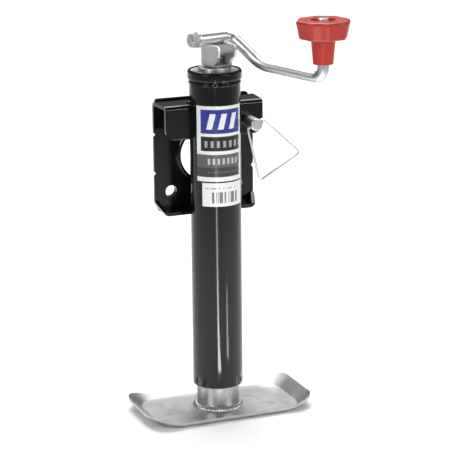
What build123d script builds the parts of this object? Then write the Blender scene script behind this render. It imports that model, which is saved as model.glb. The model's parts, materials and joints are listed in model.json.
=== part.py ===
from build123d import *
import os
from math import acos, cos, degrees, pi, radians, sin

# Top-wind swivel jack stand, millimetres. The origin is on the ground, under the axis of
# the round tube. +Z is up along the tube, the swivel mount is on the +Y side of it.

os.makedirs("parts", exist_ok=True)

# ---------------------------------------------------------------- driving dimensions
TUBE_R = 28.6             # outer tube, 2-1/4 in across
TUBE_BORE_R = 25.2
TUBE_BOTTOM = 31.2
TUBE_TOP = 396.0
RIM_R = 30.4              # rolled rim round the cap
RIM_H = 10.5
CAP_R = 27.3
CAP_TOP = 394.6
CAP_T = 5.2
RAM_R = 24.6              # inner tube
RAM_BORE_R = 21.6
RAM_TOP = 345.0

PLATE_T = 3.2             # footplate sheet
FOOT_X = 1.6              # centre of the footplate
FOOT_HALF_L = 100.2
FOOT_HALF_W = 52.3
FOOT_CORNER = 25.0
FLOOR_HALF_L = 85.7       # flat part of the footplate
FLOOR_HALF_W = 46.6
FLOOR_CORNER = 25.0
END_RISE = 0.77           # slope of the turned-up ends
SIDE_RISE = 0.63          # slope of the turned-up sides

SCREW_R = 9.5             # 3/4 in screw
SCREW_NECK_R = 6.3
SCREW_FLAT = 5.2          # half the width across the neck's two flats
SCREW_TAIL_R = 6.0
SCREW_BOTTOM = 42.0
SCREW_NECK_Z = 398.6
SCREW_TOP = 410.6
RUNNING = 0.07            # radial clearance of a running fit
GAP = 0.3                 # clearance between faces that pass each other
CUT = 1.0                 # how far a cut runs past the face that it opens

SHEET = 4.0               # bracket sheet
PIVOT_Z = 293.0           # swivel centre
LIP_Y = 1.2               # front face of the swivel bracket's lip
LIP_HALF_W = 58.2         # the lip is a little narrower than the rear wall
REAR_Y = 35.0             # front face of its rear wall
BRACKET_HALF_W = 60.0
BRACKET_TOP = 357.0
BRACKET_BOTTOM = 228.0
LIP_BOTTOM = 318.0
LOCK_OFFSET = 40.4        # lock holes, off the swivel centre in X and in Z
LOCK_HOLE_R = 6.75
TRUNNION_R = 32.2
TRUNNION_BORE_R = 29.2
FRAME_PLATE_Y = REAR_Y + SHEET + GAP
FRAME_PLATE_T = 4.8
FRAME_HALF_W = 56.0
FRAME_TOP = 358.9         # the plate stands up behind the bracket's top flange
FRAME_BOTTOM = 239.0
FRAME_CORNER = 3.0

PIN_R = 6.3
PIN_HEAD_R = 7.0
PIN_FRONT_Y = -25.0
PIN_TIP_Y = 38.6
BAIL_Y = -18.5
BAIL_WIRE_R = 1.3
BAIL_TILT = 30.0          # lean of the bail's pivot about Y
BAIL_ANGLE = radians(BAIL_TILT)
SPRING_FRONT_Y = LIP_Y + SHEET
SPRING_REAR_Y = 26.0

HEAD_ANGLE = radians(12.5)    # direction of the crank's pivot, from +X towards +Y
PIVOT_BACK = 5.7          # the crank's pivot lies behind the screw's axis
ARM_PIVOT_Z = 429.0
EAR_OUT = 12.3            # outer face of each ear, along the pivot
EAR_T = 2.8
SMALL_CHAMFER = 0.6
BARREL_R = 8.8
BARREL_HALF = 18.0
ROD_R = 6.35              # 1/2 in crank rod
KNOB_AXIS = (90.0, -91.0)
KNOB_BOTTOM = 409.4
KNOB_NECK = 437.0
KNOB_TOP = 457.5
KNOB_SEAT = 449.0
ROD_END = 459.0           # top of the crank rod, just above the knob's recess

# ---------------------------------------------------------------- directions and planes
PIVOT_DIR = Vector(cos(HEAD_ANGLE), sin(HEAD_ANGLE), 0)
FRONT_DIR = Vector(sin(HEAD_ANGLE), -cos(HEAD_ANGLE), 0)
# Side view of the crank head: local x runs to the front, local y runs up.
HEAD_SIDE = Plane(origin=(0, 0, 0), x_dir=FRONT_DIR, z_dir=-PIVOT_DIR)


def facing_front(depth, height=PIVOT_Z):
    """Upright plane at Y = depth: local x is X, local y is Z above height, normal is -Y."""
    return Plane(origin=(0, depth, height), x_dir=(1, 0, 0), z_dir=(0, -1, 0))


def save(piece, name):
    piece.part.label = name
    export_step(piece.part, f"parts/{name}.step")


# ================================================================ jack body
# ---- outer tube: plain tube, rolled rim, groove and bead at the top, guide dimples
GROOVE_Z = TUBE_TOP - RIM_H - 1.6
BEAD_OUT = 0.6            # the bead under the groove stands out by this much
BEAD_FROM = 4.0           # bead, down from the groove
BEAD_FLAT = 3.2
BEAD_TO = 1.6
GROOVE_IN = 0.7
RIM_FROM = 1.4            # rim, up from the groove
RIM_FULL = 3.4
RIM_ROUND = 2.4
RIM_EDGE = 0.4
TUBE_END_ROUND = 0.8
DIMPLE_R = 5.0
DIMPLE_DEPTH = 1.0
DIMPLES = ((38.0, 72.0), (GROOVE_Z - 0.3, 10.0))     # height and first bearing of each row
with BuildPart() as outer_tube:
    with BuildSketch(Plane.XZ):
        with BuildLine():
            Polyline(
                (TUBE_BORE_R, TUBE_BOTTOM),
                (TUBE_R, TUBE_BOTTOM),
                (TUBE_R, GROOVE_Z - BEAD_FROM),
                (TUBE_R + BEAD_OUT, GROOVE_Z - BEAD_FLAT),
                (TUBE_R + BEAD_OUT, GROOVE_Z - BEAD_TO),
                (TUBE_R - GROOVE_IN, GROOVE_Z),
                (RIM_R - BEAD_OUT, GROOVE_Z + RIM_FROM),
                (RIM_R, GROOVE_Z + RIM_FULL),
                (RIM_R, TUBE_TOP - RIM_ROUND),
                (RIM_R - RIM_ROUND / 2, TUBE_TOP - RIM_EDGE),
                (RIM_R - RIM_ROUND, TUBE_TOP),
                (CAP_R, TUBE_TOP - RIM_EDGE),
                (CAP_R, CAP_TOP - CAP_T),
                (TUBE_BORE_R, CAP_TOP - CAP_T),
                close=True,
            )
        make_face()
    revolve(axis=Axis.Z)
    fillet(
        outer_tube.edges().filter_by(GeomType.CIRCLE).group_by(Axis.Z)[0].sort_by(
            SortBy.RADIUS
        )[-1:],
        radius=TUBE_END_ROUND,
    )
    for level, first in DIMPLES:
        with Locations((0, 0, level)):
            with PolarLocations(TUBE_R + DIMPLE_R - DIMPLE_DEPTH, 3, start_angle=first):
                Sphere(DIMPLE_R, mode=Mode.SUBTRACT)
save(outer_tube, "outer_tube")

# ---- top cap: disc in the rim that carries the thrust bearing
with BuildPart() as top_cap:
    with BuildSketch(Plane.XY.offset(CAP_TOP - CAP_T)):
        Circle(CAP_R)
        Circle(SCREW_R + RUNNING, mode=Mode.SUBTRACT)
    extrude(amount=CAP_T)
    chamfer(
        top_cap.edges().filter_by(GeomType.CIRCLE).group_by(Axis.Z)[-1].sort_by(
            SortBy.RADIUS
        )[-1:],
        length=SMALL_CHAMFER,
    )
save(top_cap, "top_cap")

# ---- thrust bearing: fixed race under the cap, balls in a cage, race on the screw
RACE_R = 20.0
RACE_BORE_R = 10.4
RACE_T = 3.0
BALL_R = 3.0
BALL_CIRCLE_R = 15.5
BALL_COUNT = 10
UPPER_RACE_Z = CAP_TOP - CAP_T - RACE_T
BALL_GAP = 0.05
BALL_Z = UPPER_RACE_Z - BALL_R - BALL_GAP
LOWER_RACE_Z = BALL_Z - BALL_R - RACE_T
CAGE_T = 1.6
CAGE_EDGE = 0.6           # the cage stays inside the races by this much
CAGE_POCKET = 0.1         # radial play of a ball in its pocket
with BuildPart() as bearing_upper_race:
    with BuildSketch(Plane.XY.offset(UPPER_RACE_Z)):
        Circle(RACE_R)
        Circle(RACE_BORE_R, mode=Mode.SUBTRACT)
    extrude(amount=RACE_T)
save(bearing_upper_race, "bearing_upper_race")

with BuildPart() as bearing_lower_race:
    with BuildSketch(Plane.XY.offset(LOWER_RACE_Z)):
        Circle(RACE_R)
        Circle(SCREW_R, mode=Mode.SUBTRACT)
    extrude(amount=RACE_T)
save(bearing_lower_race, "bearing_lower_race")

with BuildPart() as bearing_balls:
    with Locations((0, 0, BALL_Z)):
        with PolarLocations(BALL_CIRCLE_R, BALL_COUNT):
            Sphere(BALL_R)
save(bearing_balls, "bearing_balls")

with BuildPart() as bearing_cage:
    with BuildSketch(Plane.XY.offset(BALL_Z - CAGE_T / 2)):
        Circle(RACE_R - CAGE_EDGE)
        Circle(RACE_BORE_R + CAGE_EDGE, mode=Mode.SUBTRACT)
        with PolarLocations(BALL_CIRCLE_R, BALL_COUNT):
            Circle(BALL_R + CAGE_POCKET, mode=Mode.SUBTRACT)
    extrude(amount=CAGE_T)
save(bearing_cage, "bearing_cage")

# ---- swivel bracket: stamped channel welded to the tube, with a deep rear wall,
#      a top flange, a front lip on each side of the tube and a short bottom flange
TOP_BEND_R = 3.3          # middle of the sheet, at both ends of the top flange
BOTTOM_BEND_R = 5.5
LIP_CORNER = 13.0
DRAW_START = 6.0          # where the flange starts to draw in, before the rear wall
NOTCH_DEPTH = 2.6
NOTCH_HALF_H = 4.0
NOTCH_HEIGHTS = (318.6, 273.8)
CORNER_W = 6.2            # cut lower corners of the rear wall
CORNER_H = 13.0
PAN_FRONT_Y = 18.0        # front edge of the flange round the bottom
PAN_TOP = BRACKET_BOTTOM + CORNER_H + 3.0
PAN_BEND_R = 4.0
LIP_SEAT = 0.6            # how far the lips' inner edges stand into the tube's width
REAR_BACK_Y = REAR_Y + SHEET

with BuildPart() as swivel_bracket:
    # rear wall and top flange, bent from one sheet
    with BuildSketch(Plane.YZ.offset(-BRACKET_HALF_W)):
        with BuildLine():
            FilletPolyline(
                (REAR_Y + SHEET / 2, BRACKET_BOTTOM + SHEET),
                (REAR_Y + SHEET / 2, BRACKET_TOP - SHEET / 2),
                (LIP_Y + SHEET / 2, BRACKET_TOP - SHEET / 2),
                (LIP_Y + SHEET / 2, LIP_BOTTOM + SHEET / 2),
                radius=TOP_BEND_R,
            )
            offset(amount=SHEET / 2, side=Side.BOTH)
        make_face()
    extrude(amount=2 * BRACKET_HALF_W)
    # bottom flange, carried up round both cut corners like the side of a pan
    with BuildSketch(facing_front(REAR_BACK_Y, 0)):
        with BuildLine():
            FilletPolyline(
                (-BRACKET_HALF_W + SHEET / 2, PAN_TOP),
                (-BRACKET_HALF_W + SHEET / 2, BRACKET_BOTTOM + CORNER_H),
                (-BRACKET_HALF_W + CORNER_W + SHEET / 2, BRACKET_BOTTOM + SHEET / 2),
                (BRACKET_HALF_W - CORNER_W - SHEET / 2, BRACKET_BOTTOM + SHEET / 2),
                (BRACKET_HALF_W - SHEET / 2, BRACKET_BOTTOM + CORNER_H),
                (BRACKET_HALF_W - SHEET / 2, PAN_TOP),
                radius=PAN_BEND_R,
            )
            offset(amount=SHEET / 2, side=Side.BOTH)
        make_face()
    extrude(amount=REAR_BACK_Y - PAN_FRONT_Y)
    # the flange runs out towards its two ends
    with BuildSketch(Plane.YZ.offset(-BRACKET_HALF_W - CUT)):
        with BuildLine():
            Polyline(
                (PAN_FRONT_Y - CUT, BRACKET_BOTTOM + SHEET + CUT),
                (PAN_FRONT_Y + CUT, BRACKET_BOTTOM + SHEET + CUT),
                (REAR_Y, PAN_TOP - CUT),
                (REAR_Y, PAN_TOP + SHEET),
                (PAN_FRONT_Y - CUT, PAN_TOP + SHEET),
                close=True,
            )
        make_face()
    extrude(amount=2 * BRACKET_HALF_W + 2 * CUT, mode=Mode.SUBTRACT)
    # outside of the bend under the rear wall
    with BuildSketch(Plane.YZ.offset(-BRACKET_HALF_W - CUT)):
        with BuildLine():
            Polyline(
                (REAR_BACK_Y, BRACKET_BOTTOM + BOTTOM_BEND_R),
                (REAR_BACK_Y + CUT, BRACKET_BOTTOM + BOTTOM_BEND_R),
                (REAR_BACK_Y + CUT, BRACKET_BOTTOM - CUT),
                (REAR_BACK_Y - BOTTOM_BEND_R, BRACKET_BOTTOM - CUT),
                (REAR_BACK_Y - BOTTOM_BEND_R, BRACKET_BOTTOM),
            )
            RadiusArc(
                (REAR_BACK_Y - BOTTOM_BEND_R, BRACKET_BOTTOM),
                (REAR_BACK_Y, BRACKET_BOTTOM + BOTTOM_BEND_R),
                -BOTTOM_BEND_R,
            )
        make_face()
    extrude(amount=2 * BRACKET_HALF_W + 2 * CUT, mode=Mode.SUBTRACT)
    # room for the jack's tube, and the lip cut away in front of it
    with BuildSketch(Plane.XY.offset(BRACKET_BOTTOM - SHEET)):
        Circle(TUBE_R)
        with Locations((0, LIP_Y + SHEET / 2)):
            Rectangle(2 * TUBE_R - LIP_SEAT, 2 * SHEET)
    extrude(amount=BRACKET_TOP - BRACKET_BOTTOM + 2 * SHEET, mode=Mode.SUBTRACT)
    # the top flange draws in from the rear wall to the narrower lip
    with BuildSketch(Plane.XY.offset(LIP_BOTTOM - CUT)):
        for side in (-1, 1):
            edge = side * (BRACKET_HALF_W + CUT)
            with BuildLine():
                Polyline(
                    (side * BRACKET_HALF_W, REAR_Y - DRAW_START),
                    (edge, REAR_Y - DRAW_START),
                    (edge, LIP_Y - CUT),
                    (side * LIP_HALF_W, LIP_Y - CUT),
                    (side * LIP_HALF_W, LIP_Y + SHEET),
                    close=True,
                )
            make_face()
    extrude(amount=BRACKET_TOP - LIP_BOTTOM + 2 * CUT, mode=Mode.SUBTRACT)
    # rounded outer corners of the two lips
    with BuildSketch(facing_front(LIP_Y + SHEET + CUT, 0)):
        for side in (-1, 1):
            edge = side * (LIP_HALF_W + CUT)
            with BuildLine():
                Polyline(
                    (side * LIP_HALF_W, LIP_BOTTOM + LIP_CORNER),
                    (edge, LIP_BOTTOM + LIP_CORNER),
                    (edge, LIP_BOTTOM - CUT),
                    (side * (LIP_HALF_W - LIP_CORNER), LIP_BOTTOM - CUT),
                    (side * (LIP_HALF_W - LIP_CORNER), LIP_BOTTOM),
                )
                RadiusArc(
                    (side * (LIP_HALF_W - LIP_CORNER), LIP_BOTTOM),
                    (side * LIP_HALF_W, LIP_BOTTOM + LIP_CORNER),
                    -side * LIP_CORNER,
                )
            make_face()
    extrude(amount=SHEET + 2 * CUT, mode=Mode.SUBTRACT)
    # side notches and lower corners of the rear wall
    with BuildSketch(facing_front(REAR_BACK_Y + CUT, 0)):
        for side in (-1, 1):
            edge = side * (BRACKET_HALF_W + CUT)
            for height in NOTCH_HEIGHTS:
                with BuildLine():
                    Polyline(
                        (edge, height - NOTCH_HALF_H),
                        (side * (BRACKET_HALF_W - NOTCH_DEPTH), height),
                        (edge, height + NOTCH_HALF_H),
                        close=True,
                    )
                make_face()
            with BuildLine():
                Polyline(
                    (side * BRACKET_HALF_W, BRACKET_BOTTOM + CORNER_H),
                    (edge, BRACKET_BOTTOM + CORNER_H),
                    (edge, BRACKET_BOTTOM - CUT),
                    (side * (BRACKET_HALF_W - CORNER_W), BRACKET_BOTTOM - CUT),
                    (side * (BRACKET_HALF_W - CORNER_W), BRACKET_BOTTOM),
                    close=True,
                )
            make_face()
    extrude(amount=SHEET + 2 * CUT, mode=Mode.SUBTRACT)
    # swivel hole and four lock holes in the rear wall
    with BuildSketch(facing_front(REAR_BACK_Y + CUT)):
        Circle(TRUNNION_R + RUNNING)
        with GridLocations(2 * LOCK_OFFSET, 2 * LOCK_OFFSET, 2, 2):
            Circle(LOCK_HOLE_R)
    extrude(amount=SHEET + 2 * CUT, mode=Mode.SUBTRACT)
    # hole for the pull pin in the right lip
    with BuildSketch(facing_front(SPRING_FRONT_Y + CUT)):
        with Locations((LOCK_OFFSET, LOCK_OFFSET)):
            Circle(PIN_R + RUNNING)
    extrude(amount=SHEET + 2 * CUT, mode=Mode.SUBTRACT)
save(swivel_bracket, "swivel_bracket")

# ---- weld beads where the bracket's flanges meet the tube
WELD = 3.2
WELD_THROAT = 0.45        # how full the bead's face is
WELD_SHORT = 4            # degrees that the lower bead stops before the flange's ends


def weld_bead(level, up, half_angle):
    """Fillet bead round the back of the tube at one level, up to half_angle each side."""
    with BuildPart(mode=Mode.PRIVATE) as bead:
        start = Plane.XZ.rotated((0, 0, 90 - half_angle))
        with BuildSketch(start):
            with BuildLine():
                Polyline(
                    (TUBE_R, level),
                    (TUBE_R + WELD, level),
                    (TUBE_R + WELD_THROAT * WELD, level + up * WELD_THROAT * WELD),
                    (TUBE_R, level + up * WELD),
                    close=True,
                )
            make_face()
        revolve(axis=Axis.Z, revolution_arc=2 * half_angle)
    return bead.part


TOP_WELD_HALF = degrees(acos((LIP_Y + TOP_BEND_R + SHEET) / TUBE_R))
BOTTOM_WELD_HALF = degrees(acos(PAN_FRONT_Y / TUBE_R)) - WELD_SHORT
top_bead = weld_bead(BRACKET_TOP, 1, TOP_WELD_HALF)
bottom_bead = weld_bead(BRACKET_BOTTOM, -1, BOTTOM_WELD_HALF)
with BuildPart() as bracket_welds:
    add(top_bead)
    add(bottom_bead)
save(bracket_welds, "bracket_welds")

# ---- labels: thin curved sheets on the tube, blank of any text
LABEL_T = 0.2
MAIN_LABEL = (203.5, 320.0, 274.0, 359.0)     # first and last bearing, low and high edge
CODE_LABEL = (217.0, 320.0, 245.6, 272.4)


def curved_label(first, last, low, high):
    """Sheet on the tube between two bearings, in degrees from +X, and two heights."""
    with BuildPart(mode=Mode.PRIVATE) as sheet:
        with BuildSketch(Plane.XZ.rotated((0, 0, first))):
            with Locations((TUBE_R + LABEL_T / 2, (low + high) / 2)):
                Rectangle(LABEL_T, high - low)
        revolve(axis=Axis.Z, revolution_arc=last - first)
    return sheet.part


main_sheet = curved_label(*MAIN_LABEL)
code_sheet = curved_label(*CODE_LABEL)
with BuildPart() as label_main:
    add(main_sheet)
save(label_main, "label_main")
with BuildPart() as label_code:
    add(code_sheet)
save(label_code, "label_code")

# ================================================================ frame mount
# ---- frame plate: the part that stays on the trailer
with BuildPart() as frame_plate:
    with BuildSketch(facing_front(FRAME_PLATE_Y + FRAME_PLATE_T)):
        with Locations((0, (FRAME_TOP + FRAME_BOTTOM) / 2 - PIVOT_Z)):
            RectangleRounded(2 * FRAME_HALF_W, FRAME_TOP - FRAME_BOTTOM, FRAME_CORNER)
        Circle(TRUNNION_R, mode=Mode.SUBTRACT)
        with GridLocations(2 * LOCK_OFFSET, 2 * LOCK_OFFSET, 2, 2):
            Circle(LOCK_HOLE_R, mode=Mode.SUBTRACT)
    extrude(amount=FRAME_PLATE_T)
    chamfer(
        frame_plate.faces().sort_by(Axis.Y)[-1].outer_wire().edges(), length=SMALL_CHAMFER
    )
save(frame_plate, "frame_plate")

# ---- trunnion ring: short pipe in the plate, its front edge rolled over the bracket
LIP_R = TRUNNION_R + 1.5
TRUNNION_FRONT_Y = 31.0
ROLL = 1.2                # size of the rolled edge's roundings
with BuildPart() as trunnion_ring:
    with BuildSketch(Plane(origin=(0, 0, PIVOT_Z), x_dir=(1, 0, 0), z_dir=(0, 0, 1))):
        with BuildLine():
            Polyline(
                (TRUNNION_BORE_R, FRAME_PLATE_Y + FRAME_PLATE_T),
                (TRUNNION_R, FRAME_PLATE_Y + FRAME_PLATE_T),
                (TRUNNION_R, REAR_Y - GAP),
                (LIP_R, REAR_Y - GAP),
                (LIP_R, TRUNNION_FRONT_Y + ROLL),
                (LIP_R - ROLL, TRUNNION_FRONT_Y + ROLL / 6),
                (LIP_R - 2 * ROLL, TRUNNION_FRONT_Y),
                (TRUNNION_BORE_R + ROLL / 2, TRUNNION_FRONT_Y + ROLL / 4),
                (TRUNNION_BORE_R, TRUNNION_FRONT_Y + ROLL),
                close=True,
            )
        make_face()
    revolve(axis=Axis((0, 0, PIVOT_Z), (0, 1, 0)))
save(trunnion_ring, "trunnion_ring")

# ================================================================ ram
# ---- inner tube
with BuildPart() as inner_tube:
    with BuildSketch(Plane.XY.offset(PLATE_T)):
        Circle(RAM_R)
        Circle(RAM_BORE_R, mode=Mode.SUBTRACT)
    extrude(amount=RAM_TOP - PLATE_T)
save(inner_tube, "inner_tube")

# ---- nut fixed in the top of the inner tube
NUT_H = 25.0
NUT_DEPTH = 4.0           # the nut sits below the inner tube's top
with BuildPart() as screw_nut:
    with BuildSketch(Plane.XY.offset(RAM_TOP - NUT_DEPTH - NUT_H)):
        Circle(RAM_BORE_R)
        Circle(SCREW_R + RUNNING, mode=Mode.SUBTRACT)
    extrude(amount=NUT_H)
save(screw_nut, "screw_nut")

# ---- footplate: stamped dish with flared edges and large corners
LOFT_H = 20.0


def dish(base):
    """Closed body under the dish's surface, with its flat floor at height base."""
    with BuildPart(mode=Mode.PRIVATE) as body:
        with BuildSketch(Plane.XY.offset(base)):
            with Locations((FOOT_X, 0)):
                RectangleRounded(2 * FLOOR_HALF_L, 2 * FLOOR_HALF_W, FLOOR_CORNER)
        with BuildSketch(Plane.XY.offset(base + LOFT_H)):
            with Locations((FOOT_X, 0)):
                RectangleRounded(
                    2 * (FLOOR_HALF_L + LOFT_H / END_RISE),
                    2 * (FLOOR_HALF_W + LOFT_H / SIDE_RISE),
                    FLOOR_CORNER + LOFT_H / SIDE_RISE,
                )
        loft()
    return body.part


outer_dish = dish(0)
inner_dish = dish(PLATE_T)
with BuildPart() as footplate:
    with BuildSketch():
        with Locations((FOOT_X, 0)):
            RectangleRounded(2 * FOOT_HALF_L, 2 * FOOT_HALF_W, FOOT_CORNER)
    extrude(amount=LOFT_H)
    add(outer_dish, mode=Mode.INTERSECT)
    add(inner_dish, mode=Mode.SUBTRACT)
save(footplate, "footplate")

# ---- weld ring between inner tube and footplate
FOOT_WELD = 5.0
with BuildPart() as foot_weld:
    with BuildSketch(Plane.XZ):
        with BuildLine():
            Polyline(
                (RAM_R, PLATE_T),
                (RAM_R + FOOT_WELD, PLATE_T),
                (RAM_R + WELD_THROAT * FOOT_WELD, PLATE_T + WELD_THROAT * FOOT_WELD),
                (RAM_R, PLATE_T + FOOT_WELD),
                close=True,
            )
        make_face()
    revolve(axis=Axis.Z)
save(foot_weld, "foot_weld")

# ================================================================ crank head
# ---- lead screw: plain body, neck through the yoke, threaded tail for the stop
COLLAR_H = 10.0
COLLAR_Z = LOWER_RACE_Z - COLLAR_H
COLLAR_R = 17.0
COLLAR_PIN_R = 2.5
STOP_T = 4.0
STOP_NUT_H = 8.0
STOP_NUT_HALF = 9.5       # half the size across flats
STOP_WASHER_R = 19.6
END_CHAMFER = 1.0
PIN_SHORT = 1.0           # the collar pin's ends lie below the collar
NECK_TURN = degrees(HEAD_ANGLE)
with BuildPart() as lead_screw:
    with BuildSketch(Plane.XY.offset(SCREW_BOTTOM)):
        Circle(SCREW_TAIL_R)
    extrude(amount=STOP_NUT_H + STOP_T)
    with BuildSketch(Plane.XY.offset(SCREW_BOTTOM + STOP_NUT_H + STOP_T)):
        Circle(SCREW_R)
    extrude(amount=SCREW_NECK_Z - SCREW_BOTTOM - STOP_NUT_H - STOP_T)
    with BuildSketch(Plane.XY.offset(SCREW_NECK_Z)):
        Circle(SCREW_NECK_R)
        Rectangle(2 * SCREW_FLAT, 2 * SCREW_NECK_R, rotation=NECK_TURN, mode=Mode.INTERSECT)
    extrude(amount=EAR_T)
    with BuildSketch(Plane.XY.offset(SCREW_NECK_Z + EAR_T)):
        Circle(SCREW_NECK_R)
    extrude(amount=SCREW_TOP - SCREW_NECK_Z - EAR_T)
    chamfer(lead_screw.edges().group_by(Axis.Z)[-1], length=END_CHAMFER)
    with BuildSketch(Plane.YZ.offset(-COLLAR_R)):
        with Locations((0, COLLAR_Z + COLLAR_H / 2)):
            Circle(COLLAR_PIN_R)
    extrude(amount=2 * COLLAR_R, mode=Mode.SUBTRACT)
save(lead_screw, "lead_screw")

# ---- thrust collar under the bearing, pinned to the screw
with BuildPart() as thrust_collar:
    with BuildSketch(Plane.XY.offset(COLLAR_Z)):
        Circle(COLLAR_R)
        Circle(SCREW_R, mode=Mode.SUBTRACT)
    extrude(amount=COLLAR_H)
    with BuildSketch(Plane.YZ.offset(-COLLAR_R - CUT)):
        with Locations((0, COLLAR_Z + COLLAR_H / 2)):
            Circle(COLLAR_PIN_R)
    extrude(amount=2 * COLLAR_R + 2 * CUT, mode=Mode.SUBTRACT)
save(thrust_collar, "thrust_collar")

with BuildPart() as collar_pin:
    with BuildSketch(Plane.YZ.offset(-COLLAR_R + PIN_SHORT)):
        with Locations((0, COLLAR_Z + COLLAR_H / 2)):
            Circle(COLLAR_PIN_R)
    extrude(amount=2 * (COLLAR_R - PIN_SHORT))
save(collar_pin, "collar_pin")

# ---- stop washer and nut at the screw's lower end
with BuildPart() as stop_washer:
    with BuildSketch(Plane.XY.offset(SCREW_BOTTOM + STOP_NUT_H)):
        Circle(STOP_WASHER_R)
        Circle(SCREW_TAIL_R, mode=Mode.SUBTRACT)
    extrude(amount=STOP_T)
save(stop_washer, "stop_washer")

with BuildPart() as stop_nut:
    with BuildSketch(Plane.XY.offset(SCREW_BOTTOM)):
        RegularPolygon(STOP_NUT_HALF, 6, major_radius=False)
        Circle(SCREW_TAIL_R, mode=Mode.SUBTRACT)
    extrude(amount=STOP_NUT_H)
save(stop_nut, "stop_nut")

# ---- washer between the cap and the yoke
YOKE_WASHER_R = 18.5
YOKE_WASHER_ROUND = 1.4
with BuildPart() as yoke_washer:
    with BuildSketch(Plane.XY.offset(CAP_TOP + GAP)):
        Circle(YOKE_WASHER_R)
        Circle(SCREW_R, mode=Mode.SUBTRACT)
    extrude(amount=SCREW_NECK_Z - CAP_TOP - GAP)
    fillet(
        yoke_washer.edges().filter_by(GeomType.CIRCLE).group_by(Axis.Z)[-1].sort_by(
            SortBy.RADIUS
        )[-1:],
        radius=YOKE_WASHER_ROUND,
    )
save(yoke_washer, "yoke_washer")

# ---- crank yoke: two ears and a base bent from one strip
EAR_BACK = -7.6
EAR_FRONT = 26.5
EAR_TOP = 424.5
YOKE_BEND_R = 2.1
YOKE_FIT = 0.02           # clearance round the screw's flats
EAR_CORNER = 1.8
EAR_EDGE = (               # front edge of the ears, out from the screw and up from the base
    (15.0, 0.0),
    (18.2, 9.5),
    (24.6, 14.0),
    (EAR_FRONT, 21.0),
)
EAR_LEAN = 1.5            # the edge leans back to the top
with BuildPart() as crank_yoke:
    # U section, seen along the ears
    with BuildSketch(Plane(origin=(0, 0, 0), x_dir=PIVOT_DIR, z_dir=FRONT_DIR).offset(EAR_BACK)):
        with BuildLine():
            FilletPolyline(
                (-EAR_OUT + EAR_T / 2, EAR_TOP),
                (-EAR_OUT + EAR_T / 2, SCREW_NECK_Z + EAR_T / 2),
                (EAR_OUT - EAR_T / 2, SCREW_NECK_Z + EAR_T / 2),
                (EAR_OUT - EAR_T / 2, EAR_TOP),
                radius=YOKE_BEND_R,
            )
            offset(amount=EAR_T / 2, side=Side.BOTH)
        make_face()
    extrude(amount=EAR_FRONT - EAR_BACK)
    # outline of the ears, seen along the pivot: waisted in front of the nut
    with BuildSketch(HEAD_SIDE.offset(EAR_OUT + CUT)):
        with BuildLine():
            FilletPolyline(
                (EAR_BACK, SCREW_NECK_Z),
                *[(out, SCREW_NECK_Z + up) for out, up in EAR_EDGE],
                (EAR_FRONT - EAR_LEAN, EAR_TOP),
                (EAR_BACK, EAR_TOP),
                radius=EAR_CORNER,
                close=True,
            )
        make_face()
        with Locations((-PIVOT_BACK, ARM_PIVOT_Z)):
            Circle(BARREL_R, mode=Mode.SUBTRACT)
    extrude(amount=-2 * (EAR_OUT + CUT), mode=Mode.INTERSECT)
    # flatted hole for the screw's neck
    with BuildSketch(Plane.XY.offset(SCREW_NECK_Z - CUT)):
        Circle(SCREW_NECK_R + YOKE_FIT)
        Rectangle(
            2 * (SCREW_FLAT + YOKE_FIT),
            2 * (SCREW_NECK_R + YOKE_FIT),
            rotation=NECK_TURN,
            mode=Mode.INTERSECT,
        )
    extrude(amount=EAR_T + 2 * CUT, mode=Mode.SUBTRACT)
save(crank_yoke, "crank_yoke")

# ---- hex nut that clamps the yoke on the screw's neck
HEAD_NUT_HALF = 8.73      # half the size across flats, which face the ears
HEAD_NUT_Z = SCREW_NECK_Z + EAR_T
HEAD_NUT_T = 8.2
HEAD_NUT_CORNER = 1.4
with BuildPart() as head_nut:
    with BuildSketch(Plane.XY.offset(HEAD_NUT_Z)):
        Circle(HEAD_NUT_HALF / cos(radians(30)))
    extrude(amount=HEAD_NUT_T)
    chamfer(head_nut.edges().group_by(Axis.Z)[-1], length=HEAD_NUT_CORNER)
    with BuildSketch(Plane.XY.offset(HEAD_NUT_Z)):
        RegularPolygon(HEAD_NUT_HALF, 6, major_radius=False, rotation=NECK_TURN + 30)
    extrude(amount=HEAD_NUT_T, mode=Mode.INTERSECT)
    with BuildSketch(Plane.XY.offset(HEAD_NUT_Z)):
        Circle(SCREW_NECK_R)
    extrude(amount=HEAD_NUT_T, mode=Mode.SUBTRACT)
save(head_nut, "head_nut")

# ---- pivot barrel welded in the saddle of the ears
with BuildPart() as pivot_barrel:
    with BuildSketch(HEAD_SIDE.offset(-BARREL_HALF)):
        with Locations((-PIVOT_BACK, ARM_PIVOT_Z)):
            Circle(BARREL_R)
            Circle(ROD_R + RUNNING, mode=Mode.SUBTRACT)
    extrude(amount=2 * BARREL_HALF)
    chamfer(pivot_barrel.edges().filter_by(GeomType.CIRCLE), length=SMALL_CHAMFER)
save(pivot_barrel, "pivot_barrel")

# ================================================================ crank arm
# ---- crank arm: one bent rod, turned down at the pivot end for its nut
ARM_START = -BARREL_HALF - GAP
ARM_BEND = 26.5
THREAD_R = 4.7
THREAD_END = -29.0
WASHER_T = 1.5
NUT_T = 8.0
ARM_WASHER_R = 8.6


def on_pivot(distance):
    """Point of the crank's pivot line at a distance from the screw's axis."""
    return PIVOT_DIR * distance - FRONT_DIR * PIVOT_BACK + Vector(0, 0, ARM_PIVOT_Z)


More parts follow.
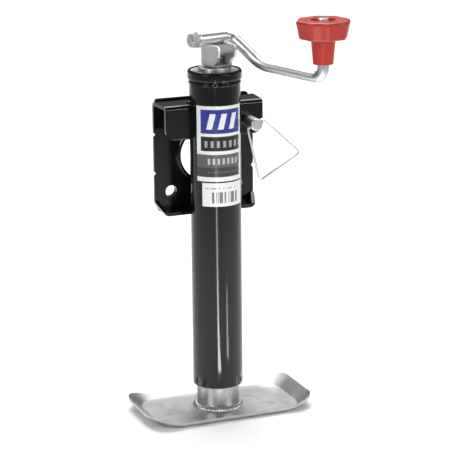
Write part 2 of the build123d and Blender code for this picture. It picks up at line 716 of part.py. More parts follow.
ARM_ELBOW = (45.6, -23.4, 400.6)
ARM_LOW_Z = 392.9
ARM_ROUTE = [
    on_pivot(ARM_START),
    on_pivot(ARM_BEND),
    Vector(*ARM_ELBOW),
    Vector(*KNOB_AXIS, ARM_LOW_Z),
    Vector(*KNOB_AXIS, ROD_END),
]
ARM_RADII = [10.0, 40.0, 10.5]
with BuildPart() as crank_arm:
    with BuildLine() as arm_line:
        FilletPolyline(*ARM_ROUTE, radius=ARM_RADII)
    with BuildSketch(HEAD_SIDE.offset(-ARM_START)):
        with Locations((-PIVOT_BACK, ARM_PIVOT_Z)):
            Circle(ROD_R)
    sweep(path=arm_line.line)
    chamfer(crank_arm.edges().group_by(Axis.Z)[-1], length=END_CHAMFER)
    with BuildSketch(HEAD_SIDE.offset(-ARM_START)):
        with Locations((-PIVOT_BACK, ARM_PIVOT_Z)):
            Circle(THREAD_R)
    extrude(amount=ARM_START - THREAD_END)
save(crank_arm, "crank_arm")

with BuildPart() as arm_washer:
    with BuildSketch(HEAD_SIDE.offset(-ARM_START)):
        with Locations((-PIVOT_BACK, ARM_PIVOT_Z)):
            Circle(ARM_WASHER_R)
            Circle(THREAD_R, mode=Mode.SUBTRACT)
    extrude(amount=WASHER_T)
save(arm_washer, "arm_washer")

ARM_NUT_HALF = 7.15       # half the size across flats
NUT_CORNER = 1.1
with BuildPart() as arm_nut:
    with BuildSketch(HEAD_SIDE.offset(-ARM_START + WASHER_T)):
        with Locations((-PIVOT_BACK, ARM_PIVOT_Z)):
            Circle(ARM_NUT_HALF / cos(radians(30)))
    extrude(amount=NUT_T)
    chamfer(arm_nut.edges().filter_by(GeomType.CIRCLE), length=NUT_CORNER)
    with BuildSketch(HEAD_SIDE.offset(-ARM_START + WASHER_T)):
        with Locations((-PIVOT_BACK, ARM_PIVOT_Z)):
            RegularPolygon(ARM_NUT_HALF, 6, major_radius=False)
    extrude(amount=NUT_T, mode=Mode.INTERSECT)
    with BuildSketch(HEAD_SIDE.offset(-ARM_START + WASHER_T)):
        with Locations((-PIVOT_BACK, ARM_PIVOT_Z)):
            Circle(THREAD_R)
    extrude(amount=NUT_T, mode=Mode.SUBTRACT)
save(arm_nut, "arm_nut")

# ---- push-on ring that keeps the knob on the rod
RETAINER_R = 9.0
RETAINER_T = 1.8
with BuildPart() as knob_retainer:
    with BuildSketch(Plane.XY.offset(KNOB_SEAT + GAP)):
        with Locations(KNOB_AXIS):
            Circle(RETAINER_R)
            Circle(ROD_R, mode=Mode.SUBTRACT)
    extrude(amount=RETAINER_T)
save(knob_retainer, "knob_retainer")

# ================================================================ knob
# ---- crank knob: tapered lobed grip on a tapered stem, recessed on top
LOBES = 8
LOBE_DEPTH = 0.07
LOBE_START = radians(36.8)
OUTLINE_STEPS = 6         # outline points to each lobe
HEAD_TOP_R = 30.7
HEAD_BOTTOM_R = 26.5
HEAD_TOP_ROUND = 3.0
HEAD_BOTTOM_ROUND = 2.4
STEM_TOP_R = 13.5
STEM_TAPER = 4.9
RECESS_R = 14.2
RECESS_TAPER = 24


def lobed_outline(radius):
    """Smooth closed outline with rounded lobes and shallow hollows between them."""
    points = []
    for step in range(OUTLINE_STEPS * LOBES):
        turn = 2 * pi * step / (OUTLINE_STEPS * LOBES)
        reach = radius * (1 - LOBE_DEPTH * (1 - cos(LOBES * turn)) / 2)
        points.append((reach * cos(turn + LOBE_START), reach * sin(turn + LOBE_START)))
    with BuildSketch(mode=Mode.PRIVATE) as outline:
        with BuildLine():
            Spline(*points, periodic=True)
        make_face()
    return outline.sketch


top_outline = lobed_outline(HEAD_TOP_R)
bottom_outline = lobed_outline(HEAD_BOTTOM_R)
knob_top = Pos(*KNOB_AXIS, KNOB_TOP) * top_outline
knob_bottom = Pos(*KNOB_AXIS, KNOB_NECK) * bottom_outline
with BuildPart() as crank_knob:
    loft(sections=[knob_bottom, knob_top])
    fillet(crank_knob.edges().group_by(Axis.Z)[-1], radius=HEAD_TOP_ROUND)
    fillet(crank_knob.edges().group_by(Axis.Z)[0], radius=HEAD_BOTTOM_ROUND)
    with BuildSketch(Plane.XY.offset(KNOB_NECK)):
        with Locations(KNOB_AXIS):
            Circle(STEM_TOP_R)
    extrude(amount=KNOB_BOTTOM - KNOB_NECK, taper=STEM_TAPER)
    with BuildSketch(Plane.XY.offset(KNOB_TOP)):
        with Locations(KNOB_AXIS):
            Circle(RECESS_R)
    extrude(amount=KNOB_SEAT - KNOB_TOP, taper=RECESS_TAPER, mode=Mode.SUBTRACT)
    with BuildSketch(Plane.XY.offset(KNOB_BOTTOM - CUT)):
        with Locations(KNOB_AXIS):
            Circle(ROD_R + RUNNING)
    extrude(amount=KNOB_TOP - KNOB_BOTTOM, mode=Mode.SUBTRACT)
save(crank_knob, "crank_knob")

# ================================================================ pull pin
PIN_Z = PIVOT_Z + LOCK_OFFSET
BAIL_DIR = Vector(cos(BAIL_ANGLE), 0, sin(BAIL_ANGLE))
BAIL_DOWN = Vector(sin(BAIL_ANGLE), 0, -cos(BAIL_ANGLE))
PIN_CENTRE = Vector(LOCK_OFFSET, BAIL_Y, PIN_Z)


def on_pin(depth):
    """Upright plane across the pull pin at Y = depth, facing the front."""
    return Plane(origin=(LOCK_OFFSET, depth, PIN_Z), x_dir=(1, 0, 0), z_dir=(0, -1, 0))


# ---- pull pin: thick cross-drilled front end, long body with a rounded tip
PIN_ROUND = 1.6
with BuildPart() as pull_pin:
    with BuildSketch(on_pin(LIP_Y - GAP)):
        Circle(PIN_HEAD_R)
    extrude(amount=LIP_Y - GAP - PIN_FRONT_Y)
    fillet(pull_pin.edges().group_by(Axis.Y)[0], radius=PIN_ROUND)
    with BuildSketch(on_pin(LIP_Y - GAP)):
        Circle(PIN_R)
    extrude(amount=-(PIN_TIP_Y - LIP_Y + GAP))
    chamfer(pull_pin.edges().group_by(Axis.Y)[-1], length=PIN_ROUND)
    with BuildSketch(Plane(origin=PIN_CENTRE - BAIL_DIR * 2 * PIN_HEAD_R, z_dir=BAIL_DIR)):
        Circle(BAIL_WIRE_R + RUNNING)
    extrude(amount=4 * PIN_HEAD_R, mode=Mode.SUBTRACT)
save(pull_pin, "pull_pin")

# ---- washer and snap ring that the spring pushes on
PIN_WASHER_T = 1.4
PIN_WASHER_R = 9.6
SNAP_RING_T = 1.4
SNAP_RING_R = 8.2
SNAP_GAP_W = 6.0
with BuildPart() as pin_washer:
    with BuildSketch(on_pin(SPRING_REAR_Y + PIN_WASHER_T)):
        Circle(PIN_WASHER_R)
        Circle(PIN_R, mode=Mode.SUBTRACT)
    extrude(amount=PIN_WASHER_T)
save(pin_washer, "pin_washer")

with BuildPart() as pin_snap_ring:
    with BuildSketch(on_pin(SPRING_REAR_Y + PIN_WASHER_T + SNAP_RING_T)):
        Circle(SNAP_RING_R)
        Circle(PIN_R, mode=Mode.SUBTRACT)
        with Locations((0, -SNAP_RING_R)):
            Rectangle(SNAP_GAP_W, SNAP_RING_R, mode=Mode.SUBTRACT)
    extrude(amount=SNAP_RING_T)
save(pin_snap_ring, "pin_snap_ring")

# ---- spring round the pin, between the lip and the washer
SPRING_WIRE_R = 0.7
SPRING_PLAY = 0.45        # between the coil and the pin
SPRING_END_GAP = 0.05     # between the coil and what it pushes on
SPRING_R = PIN_R + SPRING_WIRE_R + SPRING_PLAY
SPRING_TURNS = 4.5
SPRING_H = SPRING_REAR_Y - SPRING_FRONT_Y - 2 * (SPRING_WIRE_R + SPRING_END_GAP)
with BuildPart() as pull_pin_spring:
    with BuildLine() as coil:
        Helix(
            pitch=SPRING_H / SPRING_TURNS,
            height=SPRING_H,
            radius=SPRING_R,
            center=(LOCK_OFFSET, SPRING_FRONT_Y + SPRING_WIRE_R + SPRING_END_GAP, PIN_Z),
            direction=(0, 1, 0),
        )
    with BuildSketch(Plane(origin=coil.line @ 0, z_dir=coil.line % 0)):
        Circle(SPRING_WIRE_R)
    sweep(path=coil.line, is_frenet=True)
save(pull_pin_spring, "pull_pin_spring")

# ---- pull bail: one bent wire, hooked into the pin from both sides
BAIL_HOOK = 10.2
BAIL_HALF_W = 28.3
BAIL_LENGTH = 59.5
BAIL_END = 1.0


def on_bail(across, down):
    return PIN_CENTRE + BAIL_DIR * across + BAIL_DOWN * down


BAIL_ROUTE = [
    on_bail(BAIL_END, 0),
    on_bail(BAIL_HOOK, 0),
    on_bail(BAIL_HALF_W, BAIL_LENGTH),
    on_bail(-BAIL_HALF_W, BAIL_LENGTH),
    on_bail(-BAIL_HOOK, 0),
    on_bail(-BAIL_END, 0),
]
BAIL_RADII = [2.6, 2.8, 2.8, 2.6]
with BuildPart() as pull_bail:
    with BuildLine() as bail_line:
        FilletPolyline(*BAIL_ROUTE, radius=BAIL_RADII)
    with BuildSketch(Plane(origin=on_bail(BAIL_END, 0), z_dir=BAIL_DIR)):
        Circle(BAIL_WIRE_R)
    sweep(path=bail_line.line)
save(pull_bail, "pull_bail")
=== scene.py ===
import json
import math

import bmesh
import bpy
from mathutils import Matrix, Vector


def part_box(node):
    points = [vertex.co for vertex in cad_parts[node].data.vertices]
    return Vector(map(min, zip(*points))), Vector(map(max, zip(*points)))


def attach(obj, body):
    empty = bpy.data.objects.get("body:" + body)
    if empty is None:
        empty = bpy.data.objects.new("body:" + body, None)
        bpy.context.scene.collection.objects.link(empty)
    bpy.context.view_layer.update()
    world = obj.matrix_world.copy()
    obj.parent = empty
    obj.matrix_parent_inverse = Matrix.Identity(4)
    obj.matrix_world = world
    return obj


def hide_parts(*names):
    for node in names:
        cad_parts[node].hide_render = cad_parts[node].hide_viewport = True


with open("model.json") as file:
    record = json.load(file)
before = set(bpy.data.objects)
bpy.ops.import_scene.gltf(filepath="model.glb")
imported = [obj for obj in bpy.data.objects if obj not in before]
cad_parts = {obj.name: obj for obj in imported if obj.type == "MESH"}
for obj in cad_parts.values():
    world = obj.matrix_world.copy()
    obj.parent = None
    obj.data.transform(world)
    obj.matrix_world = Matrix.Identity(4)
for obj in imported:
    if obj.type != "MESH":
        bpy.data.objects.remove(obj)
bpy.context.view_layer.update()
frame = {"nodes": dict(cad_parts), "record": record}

NODES = frame["nodes"]
MM = 0.001
TUBE_R = 28.6 * MM

CAMERA_AZIMUTH = math.radians(21.89)      # towards -X from straight in front
CAMERA_ELEVATION = math.radians(14.99)
CAMERA_ROLL = math.radians(-0.58)
CAMERA_DISTANCE = 2.2169
AIM_ACROSS = 0.00987
AIM_HEIGHT = 0.21695
LENS = 157.2
SENSOR_W = 36.0

BEAD_TOP_HALF = math.radians(72.0)        # half angles of the bracket's two beads round the tube
BEAD_BOTTOM_HALF = math.radians(46.0)
BRACKET_RIPPLES = 15
RAM_RIPPLES = 52

FLOOR_R = 14.0
SKY_DARK = 0.09           # strength of the surroundings in front of the jack and behind it
SKY_BRIGHT = 0.16
STRIP_HEIGHT = 0.006


# ---------------------------------------------------------------- shader building
class Shader:
    """A node material with short calls for the nodes that the surfaces share."""

    def __init__(self, name):
        self.material = bpy.data.materials.new(name)
        self.material.use_nodes = True
        self.tree = self.material.node_tree
        self.bsdf = self.tree.nodes["Principled BSDF"]
        self.place = self.add("ShaderNodeTexCoord").outputs["Object"]

    def add(self, kind, **settings):
        node = self.tree.nodes.new(kind)
        for key, value in settings.items():
            setattr(node, key, value)
        return node

    def feed(self, socket, value):
        if isinstance(value, bpy.types.NodeSocket):
            self.tree.links.new(value, socket)
        else:
            socket.default_value = value

    def set(self, **values):
        """Sets sockets of the surface shader. A double underscore stands for a space."""
        for key, value in values.items():
            self.feed(self.bsdf.inputs[key.replace("__", " ")], value)

    def math(self, operation, first, second=0.0):
        node = self.add("ShaderNodeMath", operation=operation)
        self.feed(node.inputs[0], first)
        self.feed(node.inputs[1], second)
        return node.outputs[0]

    def stretched(self, scale):
        node = self.add("ShaderNodeMapping")
        self.feed(node.inputs["Vector"], self.place)
        node.inputs["Scale"].default_value = scale
        return node.outputs["Vector"]

    def noise(self, scale, detail=3.0, vector=None):
        node = self.add("ShaderNodeTexNoise")
        self.feed(node.inputs["Vector"], self.place if vector is None else vector)
        node.inputs["Scale"].default_value = scale
        node.inputs["Detail"].default_value = detail
        node.inputs["Roughness"].default_value = 0.55
        return node.outputs["Fac"]

    def cells(self, scale):
        """Colour that is even over each cell."""
        node = self.add("ShaderNodeTexVoronoi")
        self.feed(node.inputs["Vector"], self.place)
        node.inputs["Scale"].default_value = scale
        return node.outputs["Color"]

    def spread(self, value, low, high, start=0.3, end=0.7):
        """Value from start to end becomes low to high."""
        node = self.add("ShaderNodeMapRange")
        self.feed(node.inputs["Value"], value)
        for key, amount in (
            ("From Min", start),
            ("From Max", end),
            ("To Min", low),
            ("To Max", high),
        ):
            node.inputs[key].default_value = amount
        return node.outputs["Result"]

    def mix(self, share, first, second):
        node = self.add("ShaderNodeMix", data_type="RGBA")
        self.feed(node.inputs["Factor"], share)
        self.feed(node.inputs["A"], rgba(first))
        self.feed(node.inputs["B"], rgba(second))
        return node.outputs["Result"]

    def relief(self, height, strength, distance, edge_radius=0.0):
        """Bump from a height, over softened edges where edge_radius is given."""
        node = self.add("ShaderNodeBump")
        node.inputs["Strength"].default_value = strength
        node.inputs["Distance"].default_value = distance
        self.feed(node.inputs["Height"], height)
        if edge_radius:
            soft = self.add("ShaderNodeBevel", samples=4)
            soft.inputs["Radius"].default_value = edge_radius
            self.feed(node.inputs["Normal"], soft.outputs["Normal"])
        return node.outputs["Normal"]


def rgba(value):
    if isinstance(value, bpy.types.NodeSocket) or len(value) == 4:
        return value
    return (*value, 1.0)


# ---------------------------------------------------------------- surfaces
def black_paint():
    """Thick gloss enamel: slight orange peel, dust and uneven gloss."""
    s = Shader("black_paint")
    peel = s.noise(520.0, detail=2.0)
    haze = s.noise(24.0, detail=5.0)
    dust = s.spread(s.noise(900.0, detail=1.0), 0.0, 1.0, 0.70, 0.78)
    colour = s.mix(haze, (0.0030, 0.0030, 0.0033), (0.0060, 0.0060, 0.0066))
    s.set(
        Base__Color=s.mix(s.math("MULTIPLY", dust, 0.08), colour, (0.16, 0.155, 0.15)),
        Roughness=s.math("ADD", s.spread(haze, 0.09, 0.15), s.math("MULTIPLY", dust, 0.2)),
        IOR=1.45,
        Normal=s.relief(peel, 0.05, 0.22 * MM, edge_radius=0.6 * MM),
    )
    return s.material


def bright_zinc():
    """Bright zinc plating: cool tint patches, fine drawing lines, small stains."""
    s = Shader("zinc_plate")
    cloud = s.noise(70.0, detail=4.0)
    tint = s.noise(38.0, detail=2.0)
    grain = s.noise(900.0, detail=3.0)
    stain = s.spread(s.noise(150.0, detail=5.0), 0.0, 1.0, 0.62, 0.72)
    tone = s.mix(tint, (0.55, 0.565, 0.59), (0.63, 0.63, 0.62))
    s.set(
        Base__Color=s.mix(s.math("MULTIPLY", stain, 0.40), tone, (0.26, 0.26, 0.27)),
        Metallic=1.0,
        Roughness=s.math("ADD", s.spread(cloud, 0.30, 0.42), s.math("MULTIPLY", stain, 0.15)),
        Normal=s.relief(grain, 0.10, 0.08 * MM, edge_radius=0.35 * MM),
    )
    return s.material


def galvanised():
    """Galvanised pressing: soft spangle, rolling lines, handling scuffs."""
    s = Shader("galvanised")
    spangle = s.cells(210.0)
    split = s.add("ShaderNodeSeparateColor")
    s.feed(split.inputs[0], spangle)
    cloud = s.noise(30.0, detail=5.0)
    lines = s.noise(60.0, detail=4.0, vector=s.stretched((1.5, 26.0, 26.0)))
    scuff = s.spread(lines, 0.0, 1.0, 0.60, 0.72)
    tone = s.mix(split.outputs[0], (0.43, 0.435, 0.44), (0.49, 0.495, 0.50))
    tone = s.mix(s.spread(cloud, 0.0, 0.5), tone, (0.51, 0.515, 0.52))
    s.set(
        Base__Color=s.mix(s.math("MULTIPLY", scuff, 0.3), tone, (0.74, 0.74, 0.74)),
        Metallic=1.0,
        Roughness=s.math(
            "ADD", s.spread(cloud, 0.33, 0.39), s.math("MULTIPLY", split.outputs[1], 0.05)
        ),
        Normal=s.relief(lines, 0.08, 0.12 * MM, edge_radius=0.5 * MM),
    )
    return s.material


def plain_steel():
    """Oiled turned steel."""
    s = Shader("plain_steel")
    cloud = s.noise(90.0, detail=4.0)
    turned = s.noise(120.0, detail=3.0, vector=s.stretched((1.0, 1.0, 18.0)))
    s.set(
        Base__Color=s.mix(cloud, (0.33, 0.33, 0.34), (0.50, 0.50, 0.51)),
        Metallic=1.0,
        Roughness=s.spread(cloud, 0.24, 0.40),
        Normal=s.relief(turned, 0.12, 0.10 * MM, edge_radius=0.3 * MM),
    )
    return s.material


def bronze():
    """Cast and machined bronze."""
    s = Shader("bronze")
    cloud = s.noise(80.0, detail=5.0)
    s.set(
        Base__Color=s.mix(cloud, (0.44, 0.28, 0.11), (0.66, 0.46, 0.22)),
        Metallic=1.0,
        Roughness=s.spread(cloud, 0.28, 0.46),
        Normal=s.relief(s.noise(700.0), 0.15, 0.08 * MM, edge_radius=0.3 * MM),
    )
    return s.material


def red_plastic():
    """Moulded grip plastic: fine spark texture, slight colour drift, scuffed high spots."""
    s = Shader("red_plastic")
    cloud = s.noise(45.0, detail=4.0)
    grain = s.noise(1500.0, detail=2.0)
    scuff = s.spread(s.noise(260.0, detail=5.0), 0.0, 1.0, 0.64, 0.74)
    tone = s.mix(cloud, (0.36, 0.018, 0.011), (0.44, 0.027, 0.017))
    s.set(
        Base__Color=s.mix(s.math("MULTIPLY", scuff, 0.18), tone, (0.70, 0.22, 0.17)),
        Roughness=s.math("ADD", s.spread(cloud, 0.34, 0.44), s.math("MULTIPLY", scuff, 0.1)),
        Subsurface__Weight=0.06,
        Subsurface__Radius=(0.9 * MM, 0.25 * MM, 0.2 * MM),
        Normal=s.relief(grain, 0.10, 0.10 * MM, edge_radius=0.4 * MM),
    )
    return s.material


# ---------------------------------------------------------------- printed labels
WHITE = (0.68, 0.69, 0.70)
INK_BLUE = (0.018, 0.026, 0.22)
INK_BLACK = (0.006, 0.006, 0.006)
INK_GREY = (0.085, 0.087, 0.091)
INK_DARK_GREY = (0.030, 0.031, 0.033)
BAR_GAPS = 0.38           # share of the code label's bars that are left out

# Printed areas: bearings in degrees from +X, then heights in millimetres.
PANEL = (214.6, 312.0)
BAND = (203.5, 312.0)     # the grey bands run to the label's edge
BLUE_PANEL = (*PANEL, 328.3, 355.2)
BLACK_PANEL = (*PANEL, 308.6, 324.9)
GREY_BAND = (*BAND, 279.1, 304.6)
DARK_BAND = (*BAND, 279.8, 289.9)
BLACK_ROW = (224.0, 312.0, 312.6, 320.0)
GREY_ROW = (230.0, 308.0, 293.4, 300.4)
SMALL_ROW = (230.0, 308.0, 283.4, 285.6)
CODE_LINE = (226.0, 300.0, 265.4, 267.2)
CODE_BARS = (228.0, 306.0, 249.5, 262.0)
STRIPE_HEIGHTS = (333.0, 350.5)
STRIPE_FIRST = 228.0
STRIPE_PITCH = 26.0
STRIPE_W = 13.0
STRIPE_LEAN = 9.0


class Print:
    """Plain printed blocks on the tube, placed by bearing in degrees and height in millimetres."""

    def __init__(self, shader, ground):
        self.s = shader
        split = shader.add("ShaderNodeSeparateXYZ")
        shader.feed(split.inputs[0], shader.place)
        turn = shader.math("ARCTAN2", split.outputs["Y"], split.outputs["X"])
        degrees = shader.math("MULTIPLY", turn, 180.0 / math.pi)
        below = shader.math("LESS_THAN", degrees, 0.0)
        self.bearing = shader.math("ADD", degrees, shader.math("MULTIPLY", below, 360.0))
        self.height = shader.math("MULTIPLY", split.outputs["Z"], 1.0 / MM)
        self.colour = ground

    def between(self, value, low, high):
        over = self.s.math("GREATER_THAN", value, low)
        under = self.s.math("LESS_THAN", value, high)
        return self.s.math("MULTIPLY", over, under)

    def block(self, first, last, low, high, ink, only=None):
        across = self.between(self.bearing, first, last)
        inside = self.s.math("MULTIPLY", across, self.between(self.height, low, high))
        if only is not None:
            inside = self.s.math("MULTIPLY", inside, only)
        self.colour = self.s.mix(inside, self.colour, ink)

    def slanted(self, first, width, lean, low, high, ink):
        """Stripe that leans by lean degrees of bearing over its height."""
        rise = self.s.spread(self.height, 0.0, lean, low, high)
        start = self.s.math("SUBTRACT", self.bearing, rise)
        across = self.between(start, first, first + width)
        inside = self.s.math("MULTIPLY", across, self.between(self.height, low, high))
        self.colour = self.s.mix(inside, self.colour, ink)

    def row(self, first, last, low, high, pitch, share, ink):
        """Row of equal blocks, each share of pitch wide."""
        step = self.s.math("FRACT", self.s.math("DIVIDE", self.bearing, pitch))
        self.block(first, last, low, high, ink, only=self.s.math("LESS_THAN", step, share))

    def bars(self, pitch):
        """One or nothing per pitch of bearing, with no pattern that can be read."""
        node = self.s.add("ShaderNodeTexWhiteNoise", noise_dimensions="1D")
        count = self.s.math("FLOOR", self.s.math("DIVIDE", self.bearing, pitch))
        self.s.feed(node.inputs["W"], count)
        return self.s.math("GREATER_THAN", node.outputs["Value"], BAR_GAPS)


def finish_film(s, colour):
    cloud = s.noise(60.0, detail=4.0)
    s.set(
        Base__Color=colour,
        Roughness=s.spread(cloud, 0.26, 0.36),
        Coat__Weight=0.25,
        Coat__Roughness=0.12,
        Normal=s.relief(s.noise(420.0, detail=2.0), 0.05, 0.10 * MM),
    )
    return s.material


def main_label():
    s = Shader("label_main_print")
    p = Print(s, WHITE)
    p.block(*BLUE_PANEL, INK_BLUE)
    for stripe in range(3):
        first = STRIPE_FIRST + STRIPE_PITCH * stripe
        p.slanted(first, STRIPE_W, STRIPE_LEAN, *STRIPE_HEIGHTS, WHITE)
    p.block(*BLACK_PANEL, INK_BLACK)
    p.row(*BLACK_ROW, 14.0, 0.48, (0.30, 0.31, 0.31))
    p.block(*GREY_BAND, INK_GREY)
    p.block(*DARK_BAND, INK_DARK_GREY)
    p.row(*GREY_ROW, 11.0, 0.50, (0.42, 0.43, 0.43))
    p.row(*SMALL_ROW, 7.0, 0.55, (0.10, 0.10, 0.105))
    return finish_film(s, p.colour)


def code_label():
    s = Shader("label_code_print")
    p = Print(s, WHITE)
    p.block(*CODE_LINE, (0.30, 0.30, 0.31), only=p.bars(2.6))
    p.block(*CODE_BARS, (0.16, 0.16, 0.165), only=p.bars(1.9))
    return finish_film(s, p.colour)


def paint_nodes():
    """Gives each CAD node the surface of its material slot, and each label its own print."""
    surfaces = {
        "black_paint": black_paint(),
        "zinc_plate": bright_zinc(),
        "galvanised": galvanised(),
        "plain_steel": plain_steel(),
        "bronze": bronze(),
        "red_plastic": red_plastic(),
    }
    prints = {"label_main": main_label(), "label_code": code_label()}
    for row in frame["record"]["subparts"]:
        name = row["node"]
        surface = prints.get(name) or surfaces[row["material_slot"]]
        mesh = NODES[name].data
        mesh.materials.clear()
        mesh.materials.append(surface)
    return surfaces


# ---------------------------------------------------------------- weld beads
RIPPLE_STEPS = 8          # rings of points to each ripple
FACE_POINTS = 9           # points across the bead's face
END_RIPPLES = 0.6         # a bead's end dies away over this much of a ripple
END_SIZE = 0.35
BEAD_SIZE = 0.78          # the rest of the size comes from ripples and slow drift
RIPPLE_SIZE = 0.14
DRIFT_SIZE = 0.08
RIPPLE_POWER = 2.2
FACE_POWER = 1.15


def weld_bead(name, inner, outer, level, rise, ripples, first=0.0, last=2 * math.pi):
    """Rippled fillet bead round a tube, from the tube's wall down or up to a level face."""
    whole = last - first > 2 * math.pi - 0.01
    steps = ripples * RIPPLE_STEPS
    rings = steps if whole else steps + 1
    form = bmesh.new()
    rows = []
    for step in range(rings):
        turn = first + (last - first) * step / steps
        phase = ripples * (step / steps)
        scallop = 1.0 - abs(2.0 * (phase - math.floor(phase)) - 1.0) ** RIPPLE_POWER
        drift = 0.5 + 0.25 * math.sin(3.0 * turn + 0.7) + 0.25 * math.sin(7.0 * turn + 2.1)
        size = BEAD_SIZE + RIPPLE_SIZE * scallop + DRIFT_SIZE * drift
        if not whole:
            end = min(step, steps - step) / (END_RIPPLES * RIPPLE_STEPS)
            size *= END_SIZE + (1.0 - END_SIZE) * min(1.0, end) ** 0.5
        row = [form.verts.new((inner * math.cos(turn), inner * math.sin(turn), level))]
        for spot in range(FACE_POINTS):
            lean = math.pi / 2 * spot / (FACE_POINTS - 1)
            out = inner + (outer - inner) * size * math.cos(lean) ** FACE_POWER
            up = level + rise * size * math.sin(lean) ** FACE_POWER
            row.append(form.verts.new((out * math.cos(turn), out * math.sin(turn), up)))
        rows.append(row)
    for step in range(steps):
        here, there = rows[step], rows[(step + 1) % rings]
        for spot in range(FACE_POINTS + 1):
            after = (spot + 1) % (FACE_POINTS + 1)
            form.faces.new((here[spot], there[spot], there[after], here[after]))
    if not whole:
        form.faces.new(rows[0])
        form.faces.new(list(reversed(rows[-1])))
    bmesh.ops.recalc_face_normals(form, faces=form.faces)
    mesh = bpy.data.meshes.new(name)
    form.to_mesh(mesh)
    form.free()
    for face in mesh.polygons:
        face.use_smooth = True
    piece = bpy.data.objects.new(name, mesh)
    bpy.context.scene.collection.objects.link(piece)
    return piece


def weld_beads(surfaces):
    """Beads with visible ripples in place of the plain ones of the frame."""
    low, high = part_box("foot_weld")
    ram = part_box("inner_tube")[1].x
    ring = weld_bead("foot_weld_bead", ram, high.x, low.z, high.z - low.z, RAM_RIPPLES)
    ring.data.materials.append(surfaces["galvanised"])
    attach(ring, "ram")
    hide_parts("foot_weld")

    low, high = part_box("bracket_welds")
    bracket_low, bracket_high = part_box("swivel_bracket")
    reach = high.z - bracket_high.z
    for name, level, rise, half in (
        ("bracket_bead_top", bracket_high.z, reach, BEAD_TOP_HALF),
        ("bracket_bead_bottom", bracket_low.z, low.z - bracket_low.z, BEAD_BOTTOM_HALF),
    ):
        ends = (math.pi / 2 - half, math.pi / 2 + half)
        bead = weld_bead(name, TUBE_R, TUBE_R + reach, level, rise, BRACKET_RIPPLES, *ends)
        bead.data.materials.append(surfaces["black_paint"])
        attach(bead, "jack_body")
        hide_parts("bracket_welds")


# ---------------------------------------------------------------- studio
def floor():
    bpy.ops.mesh.primitive_circle_add(vertices=96, radius=FLOOR_R, fill_type="NGON")
    disc = bpy.context.object
    disc.name = "studio_floor"
    s = Shader("floor_paper")
    s.set(Base__Color=s.mix(s.noise(3.0), (0.88, 0.88, 0.88), (0.90, 0.90, 0.90)), Roughness=0.7)
    disc.data.materials.append(s.material)


def sky():
    """Surroundings that are brighter behind the jack, as in a studio with one lit wall."""
    world = bpy.data.worlds.new("studio")
    bpy.context.scene.world = world
    world.use_nodes = True
    tree = world.node_tree
    place = tree.nodes.new("ShaderNodeTexCoord")
    away = tree.nodes.new("ShaderNodeVectorMath")
    away.operation = "DOT_PRODUCT"
    tree.links.new(place.outputs["Generated"], away.inputs[0])
    away.inputs[1].default_value = -toward(CAMERA_AZIMUTH)
    ramp = tree.nodes.new("ShaderNodeMapRange")
    ramp.interpolation_type = "SMOOTHSTEP"
    tree.links.new(away.outputs["Value"], ramp.inputs["Value"])
    for key, amount in (
        ("From Min", -0.5),
        ("From Max", 0.9),
        ("To Min", SKY_DARK),
        ("To Max", SKY_BRIGHT),
    ):
        ramp.inputs[key].default_value = amount
    tree.links.new(ramp.outputs["Result"], tree.nodes["Background"].inputs["Strength"])
    tree.nodes["Background"].inputs["Color"].default_value = (0.985, 0.99, 1.0, 1.0)
    bpy.context.scene.view_settings.view_transform = "Standard"


def toward(azimuth):
    """Level direction from the jack, azimuth towards -X from straight in front."""
    return Vector((-math.sin(azimuth), -math.cos(azimuth), 0.0))


def spot_at(azimuth, reach, height=0.0):
    """Point by bearing in degrees, distance from the jack's axis and height."""
    return toward(math.radians(azimuth)) * reach + Vector((0.0, 0.0, height))


def softbox(name, place, target, size, watts, spread=180.0):
    """Soft rectangular light aimed at a target, with a grid where spread is under 180 degrees."""
    data = bpy.data.lights.new(name, "AREA")
    data.shape = "RECTANGLE"
    data.size, data.size_y = size
    data.energy = watts
    data.spread = math.radians(spread)
    lamp = bpy.data.objects.new(name, data)
    bpy.context.scene.collection.objects.link(lamp)
    lamp.location = place
    lamp.rotation_mode = "QUATERNION"
    lamp.rotation_quaternion = (Vector(target) - Vector(place)).to_track_quat("-Z", "Y")
    return lamp


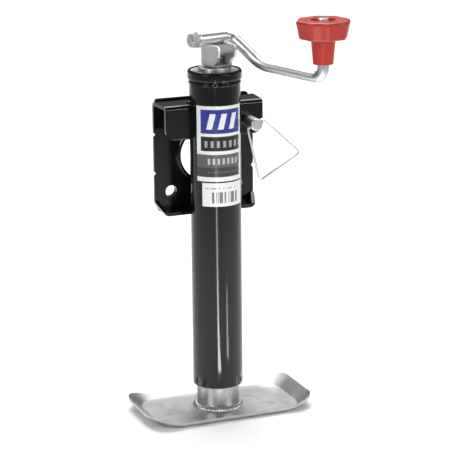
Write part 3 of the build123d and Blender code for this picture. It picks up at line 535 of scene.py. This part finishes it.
def floor_strip(name, near, far, width, watts):
    """Strip light that lies on the floor from near to far and shines up."""
    length = (far - near).length
    lamp = softbox(name, (near + far) / 2, (0.0, 0.0, 1.0), (width, length), watts)
    out = (far - near).normalized()
    up = Vector((0.0, 0.0, 1.0))
    lamp.rotation_quaternion = Matrix((up.cross(out), out, -up)).transposed().to_quaternion()
    lamp.visible_camera = False


def lights():
    middle = (0.0, 0.0, 0.20)
    softbox("overhead", spot_at(196.0, 0.9, 2.2), spot_at(202.0, 0.25), (1.5, 1.5), 10.5, 100.0)
    softbox("far_floor", spot_at(202.0, 2.6, 3.4), spot_at(202.0, 2.6), (4.5, 3.6), 136.0, 140.0)
    softbox("key", spot_at(62.0, 1.6, 1.2), middle, (0.7, 0.9), 2.1, 60.0)
    softbox("fill", spot_at(-42.0, 1.7, 0.9), middle, (0.5, 1.0), 1.25, 60.0)
    softbox("front_strip", spot_at(-22.0, 1.7, 0.86), middle, (0.7, 0.16), 2.1, 120.0)
    near, far = spot_at(13.6, 0.16, STRIP_HEIGHT), spot_at(19.6, 1.5, STRIP_HEIGHT)
    floor_strip("strip_main", near, far, 0.036, 3.1)
    near, far = spot_at(-23.0, 0.21, STRIP_HEIGHT), spot_at(-23.0, 0.5, STRIP_HEIGHT)
    floor_strip("strip_side", near, far, 0.03, 0.28)


def camera():
    a, e, r = CAMERA_AZIMUTH, CAMERA_ELEVATION, CAMERA_ROLL
    back = Vector((-math.sin(a) * math.cos(e), -math.cos(a) * math.cos(e), math.sin(e)))
    level = Vector((math.cos(a), -math.sin(a), 0.0))
    rise = back.cross(level)
    right = math.cos(r) * level + math.sin(r) * rise
    up = -math.sin(r) * level + math.cos(r) * rise
    aim = Vector((0.0, 0.0, AIM_HEIGHT)) + level * AIM_ACROSS
    data = bpy.data.cameras.new("camera")
    data.lens = LENS
    data.sensor_width = SENSOR_W
    eye = bpy.data.objects.new("camera", data)
    bpy.context.scene.collection.objects.link(eye)
    turned = Matrix((right, up, back)).transposed()
    eye.matrix_world = Matrix.Translation(aim + back * CAMERA_DISTANCE) @ turned.to_4x4()
    bpy.context.scene.camera = eye


camera()
sky()
lights()
floor()
weld_beads(paint_nodes())
